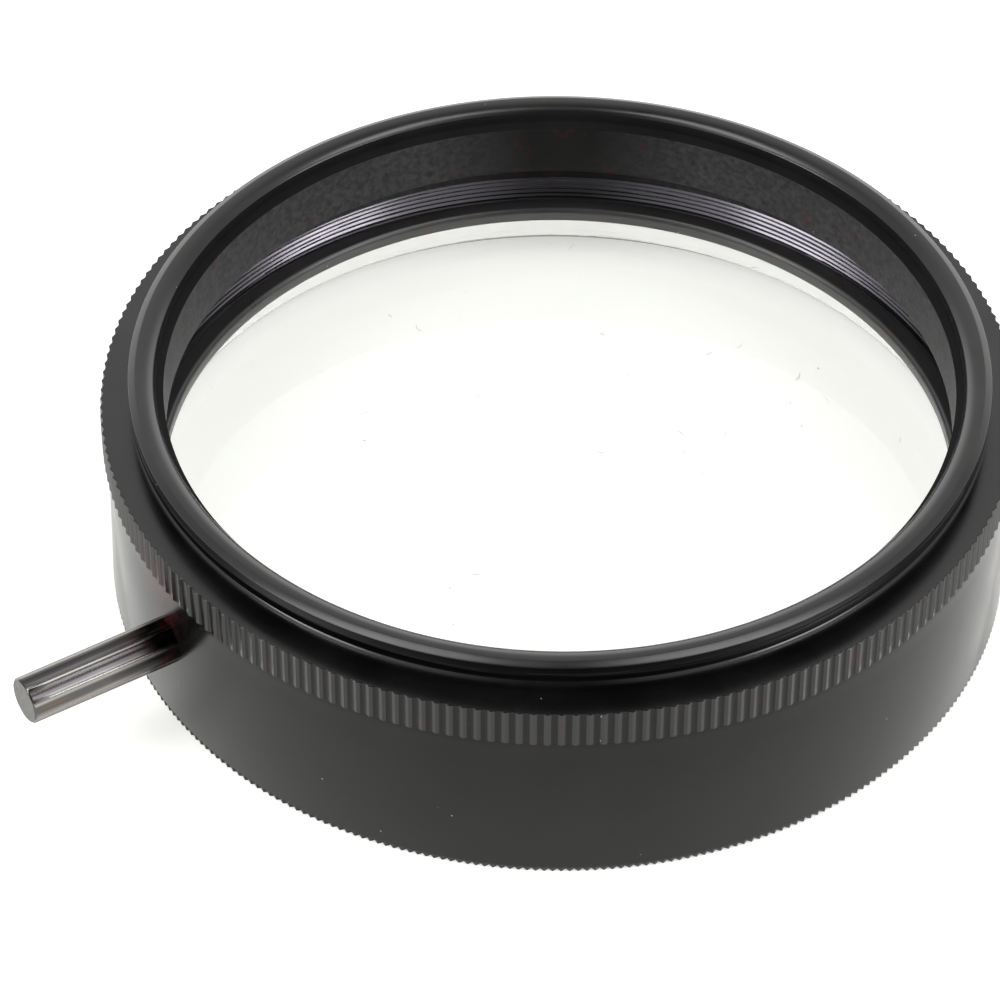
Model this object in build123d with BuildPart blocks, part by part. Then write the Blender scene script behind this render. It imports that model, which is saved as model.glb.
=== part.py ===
"""Screw-in lens filter: a rear ring with a male thread, and a glazed barrel that a lever turns on it.

The filter stands on its front rim with the rear thread up. The origin is on the axis at the lower end
of the rear thread, and +Z points out along that thread, towards the lens. Lengths are in millimetres."""

import os
from math import cos, pi, radians, sin, tau

from build123d import *

os.makedirs("parts", exist_ok=True)

# Rear thread stub
thread_radius = 26.0
thread_length = 1.27
thread_lead_in = 0.2
stub_wall = 1.9
lip_chamfer = 0.88
relief_width = 0.89
relief_depth = 0.6
relief_slope = 0.25

# Flange and sleeve of the rear ring
flange_web = 0.7
skirt_wall = 1.0
sleeve_wall = 1.3
sleeve_drop = 0.2
knurl_pitch = 0.8
knurl_depth = 0.2
knurl_backing = 0.3

# Turning joint: the barrel's neck, and the collar under it on the sleeve's foot
turning_clearance = 0.07
neck_wall = 1.46
neck_height = 1.8
collar_width = 0.65
collar_height = 0.4
collar_clearance = 0.03

# Barrel
barrel_wall = 1.58
free_thread = 3.55
rim_height = 0.4
rim_rise = 0.02
rim_tooth_pitch = 0.5
rim_tooth_depth = 0.2
rim_backing = 0.35
rim_face = 1.0

# Glass and its seat
glass_thickness = 5.2
glass_bevel = 0.5
glass_clearance = 0.1
seat_clearance = 0.02
lip_edge = 0.05
flare_height = 0.88

# Retaining ring
ring_thickness = 0.9
ring_width = 1.67
ring_clearance = 0.05
slot_width = 1.2
slot_length = 0.9
slot_depth = 0.5

# Lever
lever_angle = -146.6
lever_radius = 1.47
lever_length = 9.79
lever_gap = 3.0
flute_count = 9
flute_depth = 0.12
flute_cutter_radius = 0.9
shank_radius = 1.0
shank_clearance = 0.03
shank_end_gap = 0.15
spot_depth = 0.05
spot_margin = 0.1

# Radii, from the axis outwards
aperture_radius = thread_radius - stub_wall
sleeve_radius = aperture_radius + sleeve_wall
neck_bore = sleeve_radius + turning_clearance
collar_radius = sleeve_radius + collar_width
bore_radius = collar_radius + turning_clearance
neck_radius = neck_bore + neck_wall
skirt_radius = neck_radius + turning_clearance
knurl_radius = skirt_radius + skirt_wall
knurl_root = knurl_radius - knurl_depth
knurl_core = knurl_root - knurl_backing
barrel_radius = bore_radius + barrel_wall
rim_root = barrel_radius + rim_rise
rim_core = barrel_radius - rim_backing
flare_radius = barrel_radius - rim_face
glass_radius = bore_radius - glass_clearance
glass_flat = glass_radius - glass_bevel
ring_outer = bore_radius - ring_clearance
ring_inner = ring_outer - ring_width

# Heights, from the flange down to the rim
flange_top = -relief_width
channel_top = flange_top - flange_web
neck_top = channel_top - turning_clearance
shoulder = neck_top - neck_height
flange_bottom = shoulder + turning_clearance
sleeve_bottom = flange_bottom - sleeve_drop
collar_top = sleeve_bottom + collar_height
neck_ledge = collar_top + turning_clearance
ring_top = shoulder - free_thread
ring_bottom = ring_top - ring_thickness
glass_bottom = ring_bottom - glass_thickness
seat_top = glass_bottom + glass_bevel + glass_clearance - seat_clearance
lip_radius = glass_flat - lip_edge
lip_top = seat_top - (bore_radius - lip_radius)
rim = lip_top - flare_height


def toothed_outline(root, depth, pitch):
    """Closed outline of sharp teeth round a circle of radius root, which stand out from it by depth."""
    count = round(tau * root / pitch)
    step = pi / count
    corners = [(root + depth * (i % 2), i * step) for i in range(2 * count)]
    Polyline(*[(r * cos(a), r * sin(a)) for r, a in corners], close=True)


# The rear ring: thread stub, knurled flange, and the sleeve that the barrel's neck turns on
relief_floor = thread_radius - relief_depth
with BuildPart() as rear_ring:
    with BuildSketch(Plane.XZ):
        with BuildLine():
            Polyline(
                (thread_radius, 0),
                (thread_radius, thread_length - thread_lead_in),
                (thread_radius - thread_lead_in, thread_length),
                (aperture_radius + lip_chamfer, thread_length),
                (aperture_radius, thread_length - lip_chamfer),
                (aperture_radius, sleeve_bottom),
                (sleeve_radius, sleeve_bottom),
                (sleeve_radius, channel_top),
                (skirt_radius, channel_top),
                (skirt_radius, flange_bottom),
                (knurl_core, flange_bottom),
                (knurl_core, flange_top),
                (relief_floor + relief_slope, flange_top),
                (relief_floor, flange_top + relief_slope),
                (relief_floor, -relief_slope),
                close=True,
            )
        make_face()
    revolve(axis=Axis.Z)
    with BuildSketch(Plane.XY.offset(flange_bottom)):
        with BuildLine():
            toothed_outline(knurl_root, knurl_depth, knurl_pitch)
        make_face()
        Circle(knurl_core, mode=Mode.SUBTRACT)
    extrude(amount=flange_top - flange_bottom)
rear_ring.part.label = "rear_ring"
export_step(rear_ring.part, "parts/rear_ring.step")

# The collar on the foot of the sleeve, which keeps the barrel from dropping off
with BuildPart() as collar:
    with BuildSketch(Plane.XY.offset(sleeve_bottom)):
        Circle(collar_radius)
        Circle(sleeve_radius + collar_clearance, mode=Mode.SUBTRACT)
    extrude(amount=collar_height)
collar.part.label = "collar"
export_step(collar.part, "parts/collar.step")

# The seat of the lever: a flat spot on the barrel that looks out along the lever
lever_height = shoulder - lever_gap - lever_radius
lever_direction = Vector(cos(radians(lever_angle)), sin(radians(lever_angle)), 0)
lever_seat = lever_direction * (barrel_radius - spot_depth) + Vector(0, 0, lever_height)
lever_plane = Plane(origin=lever_seat, x_dir=(0, 0, 1), z_dir=lever_direction)

# The barrel: bore for the glass, neck inside the flange, toothed front rim
with BuildPart() as barrel:
    with BuildSketch(Plane.XZ):
        with BuildLine():
            Polyline(
                (flare_radius, rim),
                (lip_radius, lip_top),
                (bore_radius, seat_top),
                (bore_radius, neck_ledge),
                (neck_bore, neck_ledge),
                (neck_bore, neck_top),
                (neck_radius, neck_top),
                (neck_radius, shoulder),
                (barrel_radius, shoulder),
                (barrel_radius, rim + rim_height),
                (rim_core, rim + rim_height),
                (rim_core, rim),
                close=True,
            )
        make_face()
    revolve(axis=Axis.Z)
    with BuildSketch(Plane.XY.offset(rim)):
        with BuildLine():
            toothed_outline(rim_root, rim_tooth_depth, rim_tooth_pitch)
        make_face()
        Circle(rim_core, mode=Mode.SUBTRACT)
    extrude(amount=rim_height)
    with BuildSketch(lever_plane):
        Circle(lever_radius + spot_margin)
    extrude(amount=spot_depth, mode=Mode.SUBTRACT)
    with BuildSketch(lever_plane):
        Circle(shank_radius + shank_clearance)
    extrude(amount=-barrel_wall, mode=Mode.SUBTRACT)
barrel.part.label = "barrel"
export_step(barrel.part, "parts/barrel.step")

# The glass disc, with ground bevels at both faces
with BuildPart() as glass_disc:
    with BuildSketch(Plane.XZ):
        with BuildLine():
            Polyline(
                (0, glass_bottom),
                (glass_flat, glass_bottom),
                (glass_radius, glass_bottom + glass_bevel),
                (glass_radius, ring_bottom - glass_bevel),
                (glass_flat, ring_bottom),
                (0, ring_bottom),
                close=True,
            )
        make_face()
    revolve(axis=Axis.Z)
glass_disc.part.label = "glass_disc"
export_step(glass_disc.part, "parts/glass_disc.step")

# The threaded ring that holds the glass down, with two slots for a spanner
with BuildPart() as retaining_ring:
    with BuildSketch(Plane.XY.offset(ring_bottom)):
        Circle(ring_outer)
        Circle(ring_inner, mode=Mode.SUBTRACT)
    extrude(amount=ring_thickness)
    with BuildSketch(Plane.XY.offset(ring_top)):
        with PolarLocations(ring_inner, 2):
            Rectangle(2 * slot_length, slot_width)
    extrude(amount=-slot_depth, mode=Mode.SUBTRACT)
retaining_ring.part.label = "retaining_ring"
export_step(retaining_ring.part, "parts/retaining_ring.step")

# The lever: a fluted rod with a screwed shank
with BuildPart() as lever:
    with BuildSketch(lever_plane):
        Circle(lever_radius)
        with PolarLocations(lever_radius + flute_cutter_radius - flute_depth, flute_count):
            Circle(flute_cutter_radius, mode=Mode.SUBTRACT)
    extrude(amount=lever_length)
    with BuildSketch(lever_plane):
        Circle(shank_radius)
    extrude(amount=-(barrel_wall - spot_depth - shank_end_gap))
lever.part.label = "lever"
export_step(lever.part, "parts/lever.step")
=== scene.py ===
"""Looks of a screw-in lens filter that stands on its front rim, with its glass, knurl, threads and lever."""

import logging
import math
from dataclasses import dataclass, field
from enum import Enum

import bpy
import numpy as np
from mathutils import Matrix, Vector


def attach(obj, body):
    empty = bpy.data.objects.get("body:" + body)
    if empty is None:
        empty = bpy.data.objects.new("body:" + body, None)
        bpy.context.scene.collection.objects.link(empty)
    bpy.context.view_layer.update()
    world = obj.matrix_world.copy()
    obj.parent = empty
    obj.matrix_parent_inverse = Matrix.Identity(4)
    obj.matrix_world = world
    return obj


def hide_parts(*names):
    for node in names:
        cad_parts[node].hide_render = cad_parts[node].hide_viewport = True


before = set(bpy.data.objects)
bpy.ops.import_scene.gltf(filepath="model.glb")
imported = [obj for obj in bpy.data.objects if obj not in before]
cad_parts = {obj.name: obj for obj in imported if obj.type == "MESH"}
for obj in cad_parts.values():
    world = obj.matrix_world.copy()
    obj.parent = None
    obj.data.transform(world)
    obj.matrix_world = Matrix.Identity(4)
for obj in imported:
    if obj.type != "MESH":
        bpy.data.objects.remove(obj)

Colour = tuple[float, float, float]
Place = tuple[float, float, float]
Faces = list[tuple[int, ...]]
Zone = tuple[float, float, float, float]

MM = 0.001
log = logging.getLogger("lens_filter")

# Heights that several pieces share, and the lever's direction from +X in degrees.
TABLE = -14.06
GLASS_TOP = -7.91
RING_TOP = -7.01
LEVER_HEIGHT = -7.93
LEVER_ANGLE = -146.6

# Radii of rounded edges, and the room left round a zone of faces.
FINE_EDGE = 0.02
SMALL_EDGE = 0.03
SOFT_EDGE = 0.05
SLACK = 0.1
HAIR = 0.01


class Cut(Enum):
    """What is cut into a straight run of a turned section."""

    NONE = 0
    KNURL = 1
    TEETH = 2
    OUTER_THREAD = 3
    INNER_THREAD = 4


@dataclass(frozen=True)
class Corner:
    """One corner of a turned section, and the straight run that leaves it.

    Attributes:
        radius: distance from the axis, in mm.
        height: place along the axis, in mm.
        ease: radius of the rounded edge, in mm.
        steps: number of parts that the run to the next corner is divided into.
        cut: what is cut into that run.
    """

    radius: float
    height: float
    ease: float = 0.0
    steps: int = 1
    cut: Cut = Cut.NONE


@dataclass(frozen=True)
class Pattern:
    """Flutes or teeth round a ring.

    Attributes:
        count: how many go round.
        depth: how deep they are, in mm.
        hollow: 1 for a round hollow, 0 for a straight V.
    """

    count: int
    depth: float
    hollow: float

    def depths(self, angles: np.ndarray) -> np.ndarray:
        """Depth below the crest at each angle.

        Args:
            angles: angles round the axis, in radians; a crest stands at 0.

        Returns:
            Depths in mm.
        """
        tiny = 1e-6
        share = (angles * self.count / math.tau + tiny) % 1.0
        place = np.abs(share * 2.0 - 1.0)
        return self.depth * ((1.0 - place) * (1.0 - self.hollow) + (1.0 - place**2) * self.hollow)


@dataclass(frozen=True)
class Thread:
    """A fine right-hand screw thread.

    Attributes:
        pitch: axial length of one turn, in mm.
        depth: radial depth of the groove, in mm; negative on a bore, where the groove goes outwards.
        fade: share of the run over which the thread dies out at each end.
        flank: steepness of the groove's sides.
        crest: how much of the groove's depth the flat crest takes off.
    """

    pitch: float
    depth: float
    fade: float
    flank: float = 1.25
    crest: float = 0.12

    def depths(self, angles: np.ndarray, height: float, along: float) -> np.ndarray:
        """Groove depth at each angle of one row.

        Args:
            angles: angles round the axis, in radians.
            height: place along the axis, in mm.
            along: how far along its run the row is, from 0 to 1.

        Returns:
            Depths in mm.
        """
        phase = (height / self.pitch - angles / math.tau) % 1.0
        groove = np.clip(self.flank * (1.0 - np.abs(phase * 2.0 - 1.0)) - self.crest, 0.0, 1.0)
        ends = min(1.0, along / self.fade, (1.0 - along) / self.fade)
        return self.depth * groove * max(0.0, ends)


class Mesher:
    """Makes mesh objects from rows of points.

    Attributes:
        RUN_SHARE: most of a run that one rounded edge may take.
        LARGE_EASE: radius above which a rounded edge gets the fine steps, in mm.
        FINE_TURN: turn of one fine step, in degrees.
        COARSE_TURN: turn of one coarse step, in degrees.
        SHARP: edges that turn by more than this many degrees stay sharp.
    """

    RUN_SHARE = 0.45
    LARGE_EASE = 0.2
    FINE_TURN = 12.0
    COARSE_TURN = 24.0
    SHARP = 38.0

    @classmethod
    def rounding(cls, ease: float, back: np.ndarray, ahead: np.ndarray) -> tuple[float, float]:
        """Fits a rounded edge between the two runs that meet in a corner.

        Args:
            ease: the radius asked for, in mm.
            back: way to the corner before, in mm.
            ahead: way to the corner after, in mm.

        Returns:
            Half the angle between the runs, and the length of each run that the edge takes, in mm.
        """
        back_length, ahead_length = np.linalg.norm(back), np.linalg.norm(ahead)
        facing = (back / back_length) @ (ahead / ahead_length)
        half = math.acos(float(np.clip(facing, -1.0, 1.0))) / 2.0
        reach = min(ease / math.tan(half), cls.RUN_SHARE * back_length, cls.RUN_SHARE * ahead_length)
        return half, reach

    @classmethod
    def arc(cls, ease: float, point: np.ndarray, back: np.ndarray, ahead: np.ndarray) -> list[np.ndarray]:
        """Points of one corner's rounded edge.

        Args:
            ease: the radius asked for, in mm.
            point: the corner.
            back: way to the corner before, in mm.
            ahead: way to the corner after, in mm.

        Returns:
            The points in order.
        """
        half, reach = cls.rounding(ease, back, ahead)
        back, ahead = back / np.linalg.norm(back), ahead / np.linalg.norm(ahead)
        radius = reach * math.tan(half)
        centre = point + (back + ahead) / np.linalg.norm(back + ahead) * radius / math.sin(half)
        step_turn = math.radians(cls.FINE_TURN if ease > cls.LARGE_EASE else cls.COARSE_TURN)
        pieces = max(2, math.ceil((math.pi - 2.0 * half) / step_turn))
        start, end = point + back * reach - centre, point + ahead * reach - centre
        turn = math.atan2(start[0] * end[1] - start[1] * end[0], float(start @ end))
        points = []
        for step in range(pieces + 1):
            c, s = math.cos(turn * step / pieces), math.sin(turn * step / pieces)
            points.append(centre + np.array((c * start[0] - s * start[1], s * start[0] + c * start[1])))
        return points

    @classmethod
    def section_rows(cls, corners: list[Corner]) -> list[tuple[float, float, Cut, float]]:
        """Rounds the corners of a closed section and divides its runs.

        Args:
            corners: the section's corners in order.

        Returns:
            Rows of radius, height, cut, and place along the cut's run.
        """
        rows: list[tuple[float, float, Cut, float]] = []
        count = len(corners)
        spots = [np.array((corner.radius, corner.height)) for corner in corners]
        for index, corner in enumerate(corners):
            before, after = corners[index - 1], corners[(index + 1) % count]
            point, next_point = spots[index], spots[(index + 1) % count]
            back, ahead = spots[index - 1] - point, next_point - point
            arc = cls.arc(corner.ease, point, back, ahead) if corner.ease > 0.0 else [point]
            for spot in arc:
                cut, along = (corner.cut, 0.0) if spot is arc[-1] else (Cut.NONE, 0.0)
                if spot is arc[0] and before.cut is not Cut.NONE:
                    cut, along = before.cut, 1.0
                rows.append((float(spot[0]), float(spot[1]), cut, along))
            if corner.steps > 1:
                reach = 0.0
                if after.ease > 0.0:
                    onward = spots[(index + 2) % count] - next_point
                    reach = cls.rounding(after.ease, -ahead, onward)[1]
                stop = next_point - ahead / np.linalg.norm(ahead) * reach
                for step in range(1, corner.steps):
                    along = step / corner.steps
                    spot = arc[-1] + (stop - arc[-1]) * along
                    rows.append((float(spot[0]), float(spot[1]), corner.cut, along))
        return rows

    @classmethod
    def piece(cls, name: str, points: np.ndarray, faces: Faces) -> bpy.types.Object:
        """Makes a shaded mesh object.

        Args:
            name: the piece's name.
            points: points in mm.
            faces: corner numbers of each face.

        Returns:
            The new object, linked to the scene.
        """
        mesh = bpy.data.meshes.new(name)
        mesh.from_pydata((points * MM).tolist(), [], faces)
        mesh.validate()
        mesh.polygons.foreach_set("use_smooth", [True] * len(mesh.polygons))
        mesh.set_sharp_from_angle(angle=math.radians(cls.SHARP))
        mesh.update()
        piece = bpy.data.objects.new(name, mesh)
        bpy.context.scene.collection.objects.link(piece)
        return piece

    @staticmethod
    def ring(reach: np.ndarray | float, height: float, angles: np.ndarray) -> np.ndarray:
        """Points of one ring round the axis.

        Args:
            reach: distance from the axis, at each angle or at all of them, in mm.
            height: place along the axis, in mm.
            angles: the points' angles, in radians.

        Returns:
            The points, in mm.
        """
        return np.stack([reach * np.cos(angles), reach * np.sin(angles), np.full(len(angles), height)], -1)

    @classmethod
    def turned(
        cls,
        name: str,
        corners: list[Corner],
        columns: int,
        patterns: dict[Cut, Pattern] | None = None,
        threads: dict[Cut, Thread] | None = None,
    ) -> bpy.types.Object:
        """Makes a ring from its closed section.

        Args:
            name: the piece's name.
            corners: the section's corners, clockwise or not, in mm.
            columns: number of points round the axis.
            patterns: flutes and teeth, by cut.
            threads: screw threads, by cut.

        Returns:
            The ring.
        """
        angles = np.arange(columns) * math.tau / columns
        rings = []
        for radius, height, cut, along in cls.section_rows(corners):
            reach = np.full(columns, radius)
            if patterns and cut in patterns:
                reach = reach - patterns[cut].depths(angles)
            if threads and cut in threads:
                reach = reach - threads[cut].depths(angles, height, along)
            rings.append(cls.ring(reach, height, angles))
        faces = cls.bands(len(rings), columns)
        last = (len(rings) - 1) * columns
        for column in range(columns):
            beside = (column + 1) % columns
            faces.append((last + column, last + beside, beside, column))
        piece = cls.piece(name, np.concatenate(rings), faces)
        cls.face_outwards(piece)
        return piece

    @staticmethod
    def bands(rows: int, columns: int) -> Faces:
        """Faces between rings of points that follow each other.

        Args:
            rows: number of rings.
            columns: number of points in each.

        Returns:
            Corner numbers of each face, ring by ring.
        """
        faces: Faces = []
        for low in range(0, (rows - 1) * columns, columns):
            high = low + columns
            for column in range(columns):
                beside = (column + 1) % columns
                faces.append((low + column, low + beside, high + beside, high + column))
        return faces

    @classmethod
    def capped(cls, name: str, rings: list[np.ndarray], ends: np.ndarray) -> bpy.types.Object:
        """Makes a closed piece from rings of points with a middle point at each end.

        Args:
            name: the piece's name.
            rings: rings with the same number of points, in mm.
            ends: the middle points of the first ring's end and the last ring's end, in mm.

        Returns:
            The closed piece.
        """
        columns = len(rings[0])
        faces = cls.bands(len(rings), columns)
        last, low = (len(rings) - 1) * columns, len(rings) * columns
        for column in range(columns):
            beside = (column + 1) % columns
            faces.append((low, beside, column))
            faces.append((low + 1, last + column, last + beside))
        piece = cls.piece(name, np.concatenate([*rings, ends]), faces)
        cls.face_outwards(piece)
        return piece

    @staticmethod
    def finish_zone(piece: bpy.types.Object, finish: bpy.types.Material, zone: Zone) -> None:
        """Gives the faces whose middles lie in a zone of the section a finish of their own.

        Args:
            piece: the ring.
            finish: the finish of the zone.
            zone: least and most radius, and least and most height, in mm.
        """
        piece.data.materials.append(finish)
        slot = len(piece.data.materials) - 1
        middles = np.empty(len(piece.data.polygons) * 3, np.float32)
        piece.data.polygons.foreach_get("center", middles)
        middles = middles.reshape(-1, 3) / MM
        slots = np.empty(len(piece.data.polygons), np.int32)
        piece.data.polygons.foreach_get("material_index", slots)
        radii, heights = np.hypot(middles[:, 0], middles[:, 1]), middles[:, 2]
        inside = (radii > zone[0]) & (radii < zone[1]) & (heights > zone[2]) & (heights < zone[3])
        slots[inside] = slot
        piece.data.polygons.foreach_set("material_index", slots)

    @staticmethod
    def face_outwards(piece: bpy.types.Object) -> None:
        """Turns a closed mesh's faces so that they look outwards.

        Args:
            piece: the closed mesh object.
        """
        mesh = piece.data
        points = np.empty(len(mesh.vertices) * 3, np.float32)
        mesh.vertices.foreach_get("co", points)
        points = points.reshape(-1, 3).astype(float)
        mesh.calc_loop_triangles()
        corners = np.empty(len(mesh.loop_triangles) * 3, np.int32)
        mesh.loop_triangles.foreach_get("vertices", corners)
        a, b, c = (points[corners.reshape(-1, 3)[:, side]] for side in range(3))
        if float(np.einsum("ij,ij->i", a, np.cross(b, c)).sum()) < 0.0:
            mesh.flip_normals()


class Nodes:
    """A material's or world's node tree, filled step by step.

    Attributes:
        LATHE_ANGLE: how much the angle round the axis counts in lathe lines, in m per radian.
    """

    LATHE_ANGLE = 0.0004

    def __init__(self, tree: bpy.types.NodeTree) -> None:
        """Empties the tree.

        Args:
            tree: the node tree to fill.
        """
        self.tree = tree
        tree.nodes.clear()

    def add(
        self, kind: str, inputs: dict[str | int, object] | None = None, **settings: object
    ) -> bpy.types.Node:
        """Adds a node.

        Args:
            kind: the node's type name.
            inputs: values or output sockets for its inputs.
            settings: values for its own properties.

        Returns:
            The new node.
        """
        node = self.tree.nodes.new(kind)
        for key, value in settings.items():
            setattr(node, key, value)
        for key, value in (inputs or {}).items():
            if isinstance(value, bpy.types.NodeSocket):
                self.tree.links.new(value, node.inputs[key])
            else:
                node.inputs[key].default_value = value
        return node

    def math(self, operation: str, first: object, second: object = 0.0) -> bpy.types.NodeSocket:
        """Adds a sum and returns its result socket."""
        return self.add("ShaderNodeMath", {0: first, 1: second}, operation=operation).outputs[0]

    def length(self, first: bpy.types.NodeSocket, second: bpy.types.NodeSocket) -> bpy.types.NodeSocket:
        """Adds the length of a way with two parts at right angles and returns its socket."""
        squares = (self.math("MULTIPLY", part, part) for part in (first, second))
        return self.math("SQRT", self.math("ADD", *squares))

    def spread(
        self, value: object, low: float, high: float, to_low: float, to_high: float
    ) -> bpy.types.NodeSocket:
        """Maps a value from one range to another and returns the socket."""
        inputs = {"Value": value, "From Min": low, "From Max": high, "To Min": to_low, "To Max": to_high}
        return self.add("ShaderNodeMapRange", inputs).outputs[0]

    def mix(self, share: object, first: object, second: object) -> bpy.types.NodeSocket:
        """Mixes two colours and returns the socket."""
        return self.add("ShaderNodeMix", {0: share, 6: first, 7: second}, data_type="RGBA").outputs[2]

    def noise(self, vector: bpy.types.NodeSocket, scale: float, detail: float) -> bpy.types.NodeSocket:
        """Adds a noise and returns its factor socket."""
        inputs = {"Vector": vector, "Scale": scale, "Detail": detail}
        return self.add("ShaderNodeTexNoise", inputs).outputs["Fac"]

    def parts(self, vector: bpy.types.NodeSocket) -> bpy.types.bpy_prop_collection:
        """Splits a vector and returns its three sockets."""
        return self.add("ShaderNodeSeparateXYZ", {0: vector}).outputs

    def bump(self, height: bpy.types.NodeSocket, strength: float, depth: float) -> bpy.types.NodeSocket:
        """Adds a bump of a depth in m and returns its normal socket."""
        return self.add(
            "ShaderNodeBump", {"Height": height, "Strength": strength, "Distance": depth}
        ).outputs[0]

    def lathe(self, place: bpy.types.NodeSocket) -> bpy.types.NodeSocket:
        """Turns a place into radius, height and a little angle, so that noise makes lathe lines.

        Args:
            place: the place's socket.

        Returns:
            A vector socket.
        """
        parts = self.parts(place)
        radius = self.length(parts[0], parts[1])
        angle = self.math("MULTIPLY", self.math("ARCTAN2", parts[1], parts[0]), self.LATHE_ANGLE)
        return self.add("ShaderNodeCombineXYZ", {0: radius, 1: parts[2], 2: angle}).outputs[0]

    def specks(
        self, place: bpy.types.NodeSocket, size: float, share: float, cell: float
    ) -> bpy.types.NodeSocket:
        """Sparse round specks.

        Args:
            place: the place's socket.
            size: a speck's radius, in m.
            share: share of the cells that hold one.
            cell: a cell's side, in m.

        Returns:
            A socket that is 1 on a speck and 0 elsewhere.
        """
        cells = self.add("ShaderNodeTexVoronoi", {"Vector": place, "Scale": 1.0 / cell})
        near = self.math("LESS_THAN", cells.outputs["Distance"], size / cell)
        lot = self.add("ShaderNodeSeparateColor", {0: cells.outputs["Color"]}).outputs[0]
        return self.math("MULTIPLY", near, self.math("LESS_THAN", lot, share))

    def surface(self, shader: bpy.types.Node) -> None:
        """Makes a shader the material's surface."""
        self.add("ShaderNodeOutputMaterial", {"Surface": shader.outputs[0]})


@dataclass(frozen=True)
class Finish:
    """What all finishes share.

    Attributes:
        name: the material's name.
        tone: its main colour.
    """

    name: str
    tone: Colour

    def begin(self) -> tuple[bpy.types.Material, Nodes, bpy.types.NodeSocket]:
        """Starts the material.

        Returns:
            The material, its nodes, and the socket of the place on the piece.
        """
        made = bpy.data.materials.new(self.name)
        made.use_nodes = True
        nodes = Nodes(made.node_tree)
        return made, nodes, nodes.add("ShaderNodeTexCoord").outputs["Object"]

    def mottled(self, nodes: Nodes, share: bpy.types.NodeSocket, dim: float) -> bpy.types.NodeSocket:
        """Mixes a dimmer tone and the tone itself, and returns the socket."""
        return nodes.mix(share, tuple(dim * part for part in self.tone) + (1.0,), (*self.tone, 1.0))


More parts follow.
